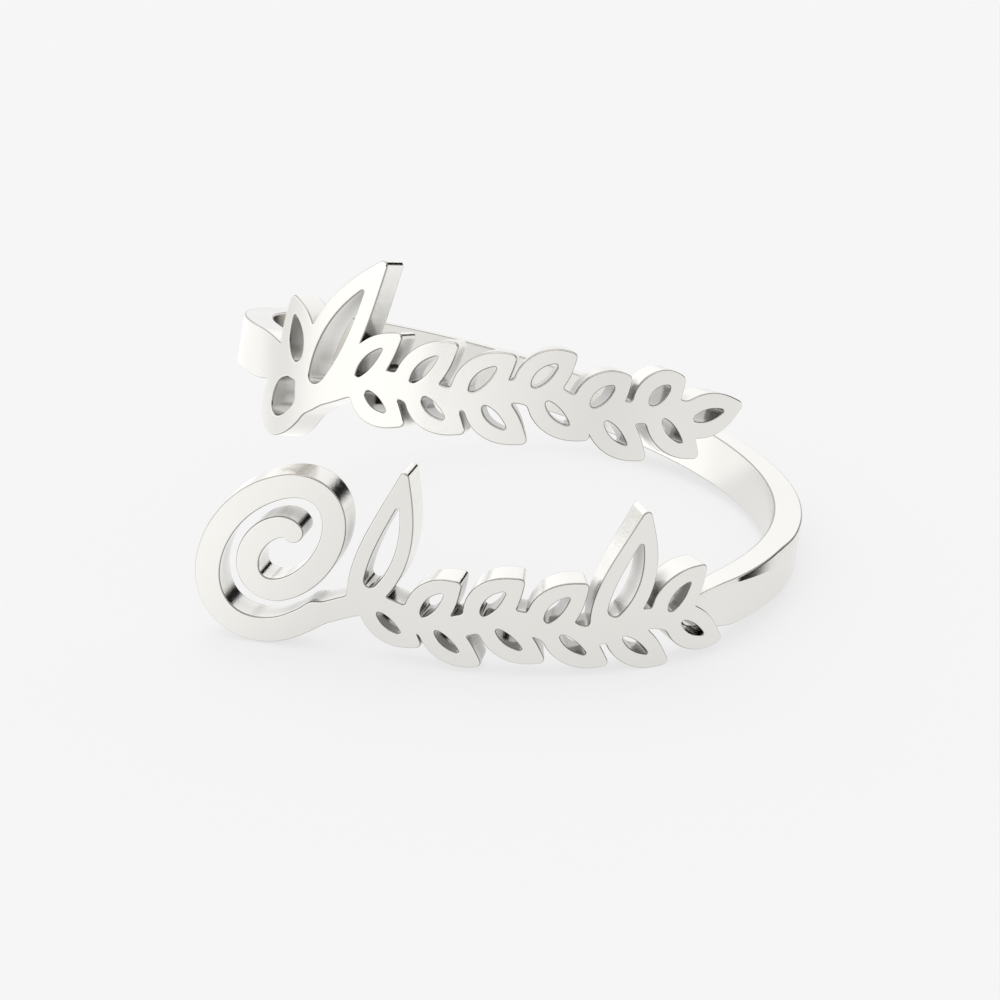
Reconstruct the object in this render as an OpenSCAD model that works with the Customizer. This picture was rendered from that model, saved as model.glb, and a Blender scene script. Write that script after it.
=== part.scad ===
// Open wrap ring: a plain band that climbs round the back of the finger and ends,
// at the front, in two pierced rows of leaves, one above the other.
// It lies as it rests on a table, with the finger hole leaning back and to the right.

/* [Finger hole] */
// Inside diameter in mm, a US size 8 ring
inner_d = 18.1; // [16.5:0.1:19.8]

/* [Metal] */
// Thickness of the band and of both rows
metal_t = 1.0; // [0.8:0.05:1.2]
// Width of the plain band
band_w = 1.65; // [1.4:0.05:1.9]
// Width of the stems of both rows
stem_w = 0.78; // [0.65:0.01:0.85]
// Width of the metal left round the opening of a small leaf
rim_w = 0.58; // [0.5:0.01:0.62]

/* [Lie of the ring] */
// Lean of the finger hole away from the viewer, in degrees
tilt_back = 15.5; // [14:0.1:16]
// Lean of the finger hole to the right, in degrees
tilt_right = 9.7; // [8:0.1:11]

/* [Climb of the band] */
// Height of the band's lower edge at the back, along the finger
band_rise = 1.52; // [1.3:0.01:1.7]
// Climb of the band in mm per radian at the back
band_slope = 1.15; // [1:0.01:1.3]
// Loss of climb in mm per radian squared, which flattens both ends
band_bow = 0.33; // [0.25:0.01:0.4]

/* [Rows] */
// Height of the upper row's foot at the front, along the finger
upper_rise = 2.64; // [2.4:0.01:2.9]
// Climb of the upper row in mm per radian at the front
upper_slope = 0.5; // [0.3:0.01:0.7]
// Sag of both ends of the upper row in mm per radian squared
upper_bow = 1.08; // [0.8:0.01:1.2]
// Length of the flat free end of the lower row
flat_len = 9.0; // [8:0.1:9.5]

/* [Hidden] */

// Radii of the inner face, the middle of the metal and the outer face
r_in = inner_d / 2;
r_out = r_in + metal_t;
r_mid = (r_in + r_out) / 2;
// Half the height of the tubes that the band and the rows are cut from
tube_h = 12;
// How far a cutting shape reaches past both faces of the metal
past = 0.4;
step_out = 0.025;
// Angle between two sections of the band, and the turn between two sections of a curl
band_step = 4;
curl_step = 20;
// Sections along one side of a leaf
leaf_steps = 8;
// Where the opening of a leaf starts and ends, as shares of its length
open_from = 0.2;
open_to = 0.88;

// Where the band starts behind the lower row and ends behind the upper one, in degrees
band_from = -54;
band_to = 214;
// Both ends of the band narrow to this share of its width over this many degrees
end_share = 0.42;
end_angle = 14;
// Where the upper row starts, and where the lower row leaves its flat end
upper_from = 203;
bend_at = 252;
// Centre of the lower row's curve
lower_centre = [0.88, 0.25];

// Angle in degrees that a length takes along the middle of the metal
function turned(len) = len / r_mid * 180 / PI;
function radians(a) = a * PI / 180;
function unit(v) = v / norm(v);

// Height of the band's lower edge, and of the upper row's foot, at angle a
function band_foot(a) =
    let (s = radians(a - 90)) band_rise + band_slope * s - band_bow * s * s;
function band_share(a) =
    end_share + (1 - end_share) * sin(90 * min(1, (a - band_from) / end_angle, (band_to - a) / end_angle));
function upper_foot(a) =
    let (s = radians(a - 270)) upper_rise + upper_slope * s - upper_bow * s * s;

// The floor lies under the lowest point of the band's outer edge, below the ring's centre
function drop(a) =
    band_foot(a) * cos(tilt_back) * cos(tilt_right)
    - r_out * (cos(a) * sin(tilt_right) + sin(a) * sin(tilt_back) * cos(tilt_right));
floor_z = min([for (a = [-40:1:80]) drop(a)]);
// Bottom centre of the whole ring, which is the origin of the part
seat = [-0.286, 0.368, floor_z];

// Strokes are lists of [along, up, width]. A curl winds from radius r0 to r1 and slants forward.
function curl(centre, r0, r1, start, sweep, w0, w1, slant) =
    let (n = ceil(abs(sweep) / curl_step))
    [for (i = [0:n])
        let (t = i / n, r = r0 + (r1 - r0) * t, a = start + sweep * t, y = r * sin(a))
        [centre[0] + 0.88 * r * cos(a) + slant * y, centre[1] + y, w0 + (w1 - w0) * t]];

// A pointed leaf is a stroke too, as wide as its two sides stand apart. The blade has its rim
// outside those sides, and the opening has it inside and starts a little way up from the base.
function blade(base, len, a, belly, bow, rim) =
    [for (i = [0:leaf_steps]) let (t = i / leaf_steps)
        concat(leaf_spot(base, len, a, bow, t), leaf_width(belly, t) + rim * (1 - 0.4 * t))];
function opening(base, len, a, belly, bow, rim) =
    [for (i = [0:leaf_steps]) let (t = open_from + (open_to - open_from) * i / leaf_steps)
        concat(leaf_spot(base, len, a, bow, t), max(leaf_width(belly, t) - rim, 0.04))];
function leaf_width(belly, t) = 2 * belly * sin(180 * pow(t, 0.75));
function leaf_spot(base, len, a, bow, t) =
    base + [cos(a), sin(a)] * len * t + [-sin(a), cos(a)] * bow * sin(180 * t);

// Height of a wavy stem at u, and the stem itself as a stroke
function stem_v(wave, u) = wave[0] + wave[1] * sin(360 * (u - wave[3]) / wave[2]);
function stem(wave, u0, u1, w) =
    let (n = round((u1 - u0) / 0.7))
    [for (i = [0:n]) let (u = u0 + (u1 - u0) * i / n) [u, stem_v(wave, u), w]];

// Direction of a stroke at its point i
function heading(s, i) =
    let (a = s[max(i - 1, 0)], b = s[min(i + 1, len(s) - 1)]) unit([b[0] - a[0], b[1] - a[1]]);
// Two short sections that round one end of a stroke off
cap_angles = [40, 75];
function cap(p, d) =
    [for (a = cap_angles)
        let (o = d * p[2] / 2 * sin(a)) [p[0] + o[0], p[1] + o[1], p[2] * cos(a)]];
function flip(s) = [for (i = [len(s) - 1:-1:0]) s[i]];
function rounded(s) =
    let (last = len(s) - 1)
    concat(flip(cap(s[0], -heading(s, 0))), s, cap(s[last], heading(s, last)));

// The lower row stands on its free end and its right end, and its middle is lifted a little
lower_lift = 0.3;
function lower_foot(u) = lower_lift * sin(180 * max(0, min(1, (u - 3) / 13)));

// Point of the upper row at u along, v up and d out from the inner face
function upper_point(u, v, d) =
    let (a = upper_from + turned(u)) [(r_in + d) * cos(a), (r_in + d) * sin(a), upper_foot(a) + v];
// The same for the lower row, whose free end runs on straight
function lower_point(u, v, d) =
    let (straight = min(u - flat_len, 0),
         a = bend_at + turned(max(u - flat_len, 0)),
         p = lower_centre + (r_in + d) * [cos(a), sin(a)] + straight * [-sin(a), cos(a)])
    [p[0], p[1], lower_foot(u) + v];
function row_point(row, u, v, d) = row == "upper" ? upper_point(u, v, d) : lower_point(u, v, d);

// Four corners of a stroke's section i, from its upper inner edge round to its upper outer one
function section(row, s, i, reach) =
    let (d = heading(s, i),
         side = [-d[1], d[0]] * s[i][2] / 2,
         a = [s[i][0], s[i][1]] + side,
         b = [s[i][0], s[i][1]] - side)
    [row_point(row, a[0], a[1], -reach),
     row_point(row, b[0], b[1], -reach),
     row_point(row, b[0], b[1], metal_t + reach),
     row_point(row, a[0], a[1], metal_t + reach)];

// Solid through a list of four-cornered sections
module loft(sections) {
    n = len(sections);
    last = 4 * (n - 1);
    polyhedron(
        points = [for (s = sections) each s],
        faces = concat(
            [for (i = [0:n - 2], j = [0:3])
                let (a = 4 * i, b = a + 4, k = (j + 1) % 4)
                each [[a + j, a + k, b + k], [a + j, b + k, b + j]]],
            [[0, 3, 2], [0, 2, 1], [last, last + 1, last + 2], [last, last + 2, last + 3]]
        ),
        convexity = 10
    );
}

// Wedge that follows a stroke and reaches past both faces of the metal
module wedge(row, stroke, reach) {
    loft([for (i = [0:len(stroke) - 1]) section(row, stroke, i, reach)]);
}

// Leaves as [along, up, length, angle, belly, bow, rim]
ALONG = 0;
UP = 1;
LENGTH = 2;
ANGLE = 3;
BELLY = 4;
BOW = 5;
RIM = 6;
module leaf_blade(row, l, reach) {
    wedge(row, blade([l[ALONG], l[UP]], l[LENGTH], l[ANGLE], l[BELLY], l[BOW], l[RIM]), reach);
}
module leaf_opening(row, l, reach) {
    wedge(row, opening([l[ALONG], l[UP]], l[LENGTH], l[ANGLE], l[BELLY], l[BOW], l[RIM]), reach);
}

// Both stems wave as [middle, height of the wave, length of the wave, start]
lower_wave = [1.44, 0.26, 4.6, 5.2];
upper_wave = [1.35, 0.22, 4.8, 4.4];

// Small leaves at a place on a stem: one that points up and one that points down
function up_leaf(wave, u, len) = [u - 0.1, stem_v(wave, u), len, 48, 0.5, 0.12, rim_w];
function down_leaf(wave, u) = [u + 0.3, stem_v(wave, u), 1.95, -38, 0.46, -0.1, rim_w];
function tall_leaf(wave, u, len) = [u - 0.2, stem_v(wave, u), len, 70, 0.62, -0.25, 0.55];

lower_pairs = [6.1, 8.1, 10.1, 12.1, 14.1, 16.1];
lower_strokes = [
    curl([3.25, 3.5], 3.22, 0.66, -46, -606, 0.9, 0.76, 0.36),
    stem(lower_wave, 4.4, 17.9, stem_w)
];
lower_leaves = concat(
    [tall_leaf(lower_wave, lower_pairs[0], 5.0)],
    [tall_leaf(lower_wave, lower_pairs[4], 4.3)],
    [for (k = [1, 2, 3, 5]) up_leaf(lower_wave, lower_pairs[k], 2)],
    [for (u = lower_pairs) down_leaf(lower_wave, u)]
);

upper_pairs = [4.81, 6.78, 8.71, 10.61, 12.52, 14.41];
upper_strokes = [
    curl([1.76, 1.34], 1.32, 0.95, 30, -288, 0.7, 0.62, 0.12),
    stem(upper_wave, 3.0, 16.2, stem_w)
];
// The two tall leaves at the joint with the band, and the leaf at the free end
upper_leaves = concat(
    [[2.9, 0.9, 5.0, 63, 0.85, 0.25, 0.66]],
    [[2.35, 2.02, 2.55, 110, 0.61, 0, 0.56]],
    [[15.7, 1.25, 2.2, 22, 0.48, 0, rim_w]],
    [for (k = [0:5]) up_leaf(upper_wave, upper_pairs[k], 2.1 - 0.12 * k)],
    [for (u = upper_pairs) down_leaf(upper_wave, u)]
);

// Everything of one row, cut right through, as one closed shape. Each wedge reaches a little
// further than the last, so that no two of their end faces lie on each other.
module row_cutter(row, strokes, leaves) {
    ns = len(strokes);
    nl = len(leaves);
    resize([0, 0, 0])
        difference() {
            union() {
                for (i = [0:ns - 1])
                    wedge(row, rounded(strokes[i]), past + step_out * (i + 1));
                for (i = [0:nl - 1])
                    leaf_blade(row, leaves[i], past + step_out * (i + 1 + ns));
            }
            for (i = [0:nl - 1])
                leaf_opening(row, leaves[i], past + step_out * (i + 3 + ns + nl));
        }
}

// Full turn of metal that the band and the upper row are cut from
module tube() {
    difference() {
        translate([0, 0, -tube_h / 2])
            cylinder(r = r_out, h = 2 * tube_h, $fn = 180);
        translate([0, 0, -tube_h])
            cylinder(r = r_in, h = 4 * tube_h, $fn = 180);
    }
}

// Curved and straight sheet that the lower row is cut from
module lower_sheet() {
    translate([lower_centre[0], lower_centre[1], -1])
        rotate(bend_at)
            union() {
                rotate_extrude(angle = 70, $fn = 180)
                    translate([r_in, 0])
                        square([metal_t, tube_h]);
                translate([r_in, -flat_len - 2, 0])
                    cube([metal_t, flat_len + 2, tube_h]);
            }
}

// Plain band, whose edges climb as it goes round the back
module band() {
    n = round((band_to - band_from) / band_step);
    intersection() {
        tube();
        loft([for (i = [0:n])
            let (a = band_from + (band_to - band_from) * i / n,
                 middle = band_foot(a) + band_w / 2,
                 half = band_w * band_share(a) / 2)
            [for (c = [[r_in - past, half], [r_in - past, -half], [r_out + past, -half], [r_out + past, half]])
                [c[0] * cos(a), c[0] * sin(a), middle + c[1]]]]);
    }
}

module upper_row() {
    intersection() {
        tube();
        row_cutter("upper", upper_strokes, upper_leaves);
    }
}

module lower_row() {
    intersection() {
        lower_sheet();
        row_cutter("lower", lower_strokes, lower_leaves);
    }
}

module ring() {
    color("gainsboro")
        translate(-seat)
            union() {
                rotate([-tilt_back, tilt_right, 0]) {
                    band();
                    upper_row();
                }
                translate([0, 0, floor_z])
                    lower_row();
            }
}

ring();
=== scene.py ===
"""Looks of an open wrap ring in polished silver.

A plain band climbs round the back of the finger. At the front it ends in two pierced rows of
leaves, one above the other. Each sheet of metal is drawn flat, as it would be laid out on a
bench, gets its thickness and softened edges there, and is then bent round the finger.

Flat sheets are drawn in mm and degrees. Meshes and the studio are in metres.
"""

import logging
import math
from abc import ABC, abstractmethod
from dataclasses import dataclass, field
from enum import Enum
from typing import Callable, Sequence

import bmesh
import bpy
import numpy as np
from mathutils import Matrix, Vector
from mathutils.geometry import delaunay_2d_cdt

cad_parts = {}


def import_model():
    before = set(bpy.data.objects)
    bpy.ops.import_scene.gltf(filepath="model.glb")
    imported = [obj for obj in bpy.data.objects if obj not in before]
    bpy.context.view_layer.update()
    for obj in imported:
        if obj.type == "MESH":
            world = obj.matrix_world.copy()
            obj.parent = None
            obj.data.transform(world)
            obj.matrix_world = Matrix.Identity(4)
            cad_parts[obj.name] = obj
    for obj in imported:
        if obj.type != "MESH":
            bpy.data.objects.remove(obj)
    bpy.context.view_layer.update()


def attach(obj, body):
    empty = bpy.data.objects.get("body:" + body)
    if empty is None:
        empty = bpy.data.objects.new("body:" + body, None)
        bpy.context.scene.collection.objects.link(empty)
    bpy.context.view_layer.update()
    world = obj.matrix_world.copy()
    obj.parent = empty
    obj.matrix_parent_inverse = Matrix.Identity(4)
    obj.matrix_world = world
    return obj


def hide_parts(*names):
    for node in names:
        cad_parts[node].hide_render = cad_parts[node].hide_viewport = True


LOG = logging.getLogger("ring")
MM = 0.001
TINY = 1e-9
FAR = 9.0
UP = np.array([0.0, 0.0, 1.0])
DOWN = np.array([0.0, 0.0, -1.0])

# Names of what a sheet's mesh carries besides its shape
FLAT_NORMAL = "flat_normal"
BENT_NORMAL = "bent_normal"
SURFACE = "surface"
BENCH = "bench"

Pair = tuple[float, float]
Triple = tuple[float, float, float]
GridEdge = tuple[int, int, int]
Foot = Callable[[np.ndarray], np.ndarray]
Slot = bpy.types.NodeSocket


class Surface(Enum):
    """The finishes of the metal, with the numbers that mark them on a flat sheet."""

    FACE = 0
    WALL = 1
    EDGE = 2


def softened(size: np.ndarray | float, share: np.ndarray) -> np.ndarray:
    """A share of a size, where the share runs from 0 to 1 with a soft start and end."""
    return size * share * share * (3 - 2 * share)


@dataclass(frozen=True)
class RingSizes:
    """Driving sizes of the ring, in mm and degrees.

    Angles run round the finger, with the right side at 0, the back at 90 and the front at 270.

    Attributes:
        inner_radius: Radius of the finger hole.
        metal: Thickness of the metal.
        band_width: Width of the plain band.
        stem_width: Width of the stems of both rows.
        rim_width: Width of the metal left round the opening of a small leaf.
        edge_radius: Radius of the softened edges.
        tilt_back: Lean of the finger hole away from the viewer.
        tilt_right: Lean of the finger hole to the right.
        band_rise: Height of the band's lower edge at the back, along the finger.
        band_slope: Climb of the band for each radian, at the back.
        band_bow: Loss of climb for each radian squared, which flattens its ends.
        band_from: Where the band starts, behind the lower row.
        band_to: Where the band ends, behind the upper row.
        end_share: Share of its width that the band has at both ends.
        end_angle: Angle over which it narrows to that share.
        dive_angles: Where the band's outer face starts to sink, and where it lies deepest.
        dive_depth: Depth there, behind the lower row.
        facet_angles: Where the facet on the upper edge starts, is wide, starts to fade and ends.
        facet_width: Width of the facet where it is wide.
        facet_tilts: How far it leans in at its lower and at its upper edge.
        upper_rise: Height of the upper row's foot at the front, along the finger.
        upper_slope: Climb of the upper row for each radian, at the front.
        upper_bow: Sag of its ends for each radian squared.
        upper_from: Where the upper row's own drawing starts.
        upper_to: Where that drawing ends.
        flat_length: Length of the lower row's straight free end.
        bend_at: Where the lower row leaves its straight end.
        lower_centre: Centre of the lower row's curve.
        lower_lift: Height above the table of the lower row's foot at its middle.
        lower_arch: Stretch of the lower row whose foot stands clear of the table.
        seat_along: Place of the part's origin as seen from the centre of the hole.
        touching: Angles between which the band's lower edge meets the table.
    """

    inner_radius: float = 9.05
    metal: float = 1.0
    band_width: float = 1.65
    stem_width: float = 0.78
    rim_width: float = 0.58
    edge_radius: float = 0.055
    tilt_back: float = 15.5
    tilt_right: float = 9.7
    band_rise: float = 1.52
    band_slope: float = 1.15
    band_bow: float = 0.33
    band_from: float = -54.0
    band_to: float = 214.0
    end_share: float = 0.42
    end_angle: float = 14.0
    dive_angles: Pair = (-41.0, -53.0)
    dive_depth: float = 0.34
    facet_angles: tuple[float, float, float, float] = (-50.0, -22.0, -26.0, -16.0)
    facet_width: float = 0.6
    facet_tilts: Pair = (11.0, 12.0)
    upper_rise: float = 2.64
    upper_slope: float = 0.5
    upper_bow: float = 1.08
    upper_from: float = 203.0
    upper_to: float = 309.0
    flat_length: float = 9.0
    bend_at: float = 252.0
    lower_centre: Pair = (0.88, 0.25)
    lower_lift: float = 0.3
    lower_arch: Pair = (3.0, 16.0)
    seat_along: Pair = (-0.286, 0.368)
    touching: tuple[int, int] = (-40, 81)

    @property
    def middle_radius(self) -> float:
        """Radius of the middle of the metal."""
        return self.inner_radius + self.metal / 2

    @property
    def outer_radius(self) -> float:
        """Radius of the outer face."""
        return self.inner_radius + self.metal

    def turned(self, length: np.ndarray | float) -> np.ndarray | float:
        """Angle in degrees that a length takes along the middle of the metal."""
        return np.degrees(length / self.middle_radius)

    def along(self, angle: float) -> float:
        """Length along the middle of the metal up to an angle in degrees."""
        return math.radians(angle) * self.middle_radius

    def band_foot(self, angle: np.ndarray | float) -> np.ndarray | float:
        """Height of the band's lower edge along the finger at an angle in degrees."""
        turn = np.radians(angle - 90)
        return self.band_rise + self.band_slope * turn - self.band_bow * turn**2

    def band_share(self, angle: float) -> float:
        """Share of its width that the band has at an angle, less than 1 near both ends."""
        inside = min(1, (angle - self.band_from) / self.end_angle, (self.band_to - angle) / self.end_angle)
        return self.end_share + (1 - self.end_share) * math.sin(math.radians(90 * max(inside, 0)))

    def band_top(self, along: np.ndarray) -> np.ndarray:
        """Height of the band's upper edge.

        Args:
            along: Lengths along the round sheet.

        Returns:
            The height along the finger at each length.
        """
        angles = self.turned(along)
        share = np.array([self.band_share(a) for a in np.atleast_1d(angles)])
        return self.band_foot(angles) + self.band_width * (1 + share) / 2

    def facet_line(self, along: np.ndarray) -> np.ndarray:
        """Height of the crease between the band's outer face and the facet above it."""
        start, full = (self.along(a) for a in self.facet_angles[:2])
        return self.band_top(along) - self.facet_width * np.clip((along - start) / (full - start), 0, 1)

    def band_relief(self, points: np.ndarray, lean: float = 1.0) -> np.ndarray:
        """Depth by which the band's outer face lies under the round, near its narrow end.

        Args:
            points: Places on the flat sheet, along and up.
            lean: Factor on the slope of the facet at the band's upper edge.

        Returns:
            The depth in mm at each point.
        """
        along, up = points[:, 0], points[:, 1]
        near, deepest = (self.along(a) for a in self.dive_angles)
        dive = softened(self.dive_depth, np.clip((along - near) / (deepest - near), 0, 1))
        low, high = (lean * math.tan(math.radians(tilt)) for tilt in self.facet_tilts)
        above = np.clip(up - self.facet_line(along), 0, self.facet_width)
        facet = low * above + (high - low) * above**2 / (2 * self.facet_width)
        keep, gone = (self.along(a) for a in self.facet_angles[2:])
        return dive + softened(facet, np.clip((gone - along) / (gone - keep), 0, 1))

    def upper_foot(self, along: np.ndarray) -> np.ndarray:
        """Height of the upper row's foot along the finger at a place along the row."""
        turn = np.radians(self.upper_from + self.turned(along) - 270)
        return self.upper_rise + self.upper_slope * turn - self.upper_bow * turn**2

    def lower_foot(self, along: np.ndarray) -> np.ndarray:
        """Height of the lower row's foot above the table at a place along the row."""
        first, last = self.lower_arch
        return self.lower_lift * np.sin(np.radians(180 * np.clip((along - first) / (last - first), 0, 1)))

    @property
    def table(self) -> float:
        """Finds where the lowest point of the band's outer edge touches the table.

        Returns:
            The height of the table as seen from the centre of the hole.
        """
        back, right = math.radians(self.tilt_back), math.radians(self.tilt_right)
        angles = np.arange(*self.touching)
        turn = np.radians(angles)
        drop = self.band_foot(angles) * math.cos(back) * math.cos(right) - self.outer_radius * (
            np.cos(turn) * math.sin(right) + np.sin(turn) * math.sin(back) * math.cos(right)
        )
        return float(drop.min())

    @property
    def centre(self) -> Vector:
        """Centre of the finger hole in the part's frame, in metres."""
        x, y = self.seat_along
        return Vector((-x, -y, -self.table)) * MM


@dataclass(frozen=True)
class Wave:
    """A stem's gentle wave.

    Attributes:
        middle: Height of its middle line.
        height: Height of the wave over that line.
        length: Length of one wave.
        start: Where along the row a wave starts.
    """

    middle: float
    height: float
    length: float
    start: float

    # Distance between the points of a stroke
    STEP = 0.15

    def at(self, along: np.ndarray | float) -> np.ndarray | float:
        """Height of the stem at a place along the row."""
        return self.middle + self.height * np.sin(2 * np.pi * (along - self.start) / self.length)

    def stroke(self, first: float, last: float, width: float) -> np.ndarray:
        """The stem from first to last along the row, as a stroke of [along, up, width]."""
        along = np.linspace(first, last, int((last - first) / self.STEP) + 2)
        return np.column_stack([along, self.at(along), np.full_like(along, width)])


@dataclass(frozen=True)
class Curl:
    """A stem's end that winds in on itself.

    Attributes:
        centre: Its middle, along and up.
        radii: First and last radius.
        start: Angle at which it starts.
        sweep: Angle that it winds through, below 0 for clockwise.
        widths: First and last width of the metal.
        slant: How far it leans forward for each mm of height.
    """

    centre: Pair
    radii: Pair
    start: float
    sweep: float
    widths: Pair
    slant: float

    # Factor on its size along the row, and the angle between its points
    NARROWED = 0.88
    STEP = 4.0

    def stroke(self) -> np.ndarray:
        """Draws the curl.

        Returns:
            A stroke of [along, up, width].
        """
        share = np.linspace(0, 1, int(abs(self.sweep) / self.STEP) + 1)
        radius = self.radii[0] + (self.radii[1] - self.radii[0]) * share
        turn = np.radians(self.start + self.sweep * share)
        rise = radius * np.sin(turn)
        along = self.centre[0] + self.NARROWED * radius * np.cos(turn) + self.slant * rise
        width = self.widths[0] + (self.widths[1] - self.widths[0]) * share
        return np.column_stack([along, self.centre[1] + rise, width])


@dataclass(frozen=True)
class Leaf:
    """A pierced leaf, drawn flat.

    Attributes:
        along: Place of its base along the row.
        up: Height of its base.
        length: Length of its spine.
        angle: Angle between its spine and the row.
        belly: Half the greatest distance between its two sides.
        bow: Bend of its spine.
        rim: Width of the metal left round its opening.
    """

    along: float
    up: float
    length: float
    angle: float
    belly: float
    bow: float
    rim: float

    STEPS = 40
    # Shares of the spine between which the opening runs, and its least width
    OPEN_FROM = 0.2
    OPEN_TO = 0.88
    LEAST_OPENING = 0.11
    # Power of those shares, below 1 so that the belly lies nearer the base than the tip
    FULLNESS = 0.75
    # Share of the rim that the blade's width loses from the base to the tip
    RIM_TAPER = 0.4

    def _spine(self, share: np.ndarray) -> np.ndarray:
        """Finds points of the bowed spine.

        Args:
            share: Shares of its length.

        Returns:
            A point for each share, along and up.
        """
        turn = math.radians(self.angle)
        ahead = np.array([math.cos(turn), math.sin(turn)])
        aside = np.array([-math.sin(turn), math.cos(turn)])
        straight = np.array([self.along, self.up]) + np.outer(self.length * share, ahead)
        return straight + np.outer(self.bow * np.sin(np.pi * share), aside)

    def _spread(self, share: np.ndarray) -> np.ndarray:
        """Distance between the two sides at shares of the length."""
        return 2 * self.belly * np.sin(np.pi * share**self.FULLNESS)

    def blade(self) -> np.ndarray:
        """Draws the whole leaf.

        Returns:
            A stroke of [along, up, width].
        """
        share = np.linspace(0, 1, self.STEPS)
        width = self._spread(share) + self.rim * (1 - self.RIM_TAPER * share)
        return np.column_stack([self._spine(share), width])

    def opening(self) -> np.ndarray:
        """Draws the leaf's opening.

        Returns:
            A stroke of [along, up, width].
        """
        share = np.linspace(self.OPEN_FROM, self.OPEN_TO, self.STEPS)
        width = np.maximum(self._spread(share) - self.rim, 0)
        return np.column_stack([self._spine(share), width])[width > self.LEAST_OPENING]


BOTTOM, RIGHT, TOP, LEFT = range(4)

# How an outline crosses a grid cell, from side to side with the metal on its left. The number
# of a cell adds 1, 2, 4 and 8 for its corners in the metal, round it from the lowest one.
CROSSINGS = {1: [(BOTTOM, LEFT)], 2: [(RIGHT, BOTTOM)], 3: [(RIGHT, LEFT)], 4: [(TOP, RIGHT)],
             5: [(BOTTOM, LEFT), (TOP, RIGHT)], 6: [(TOP, BOTTOM)], 7: [(TOP, LEFT)],
             8: [(LEFT, TOP)], 9: [(BOTTOM, TOP)], 10: [(RIGHT, BOTTOM), (LEFT, TOP)],
             11: [(RIGHT, TOP)], 12: [(LEFT, RIGHT)], 13: [(BOTTOM, RIGHT)], 14: [(LEFT, BOTTOM)]}


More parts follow.
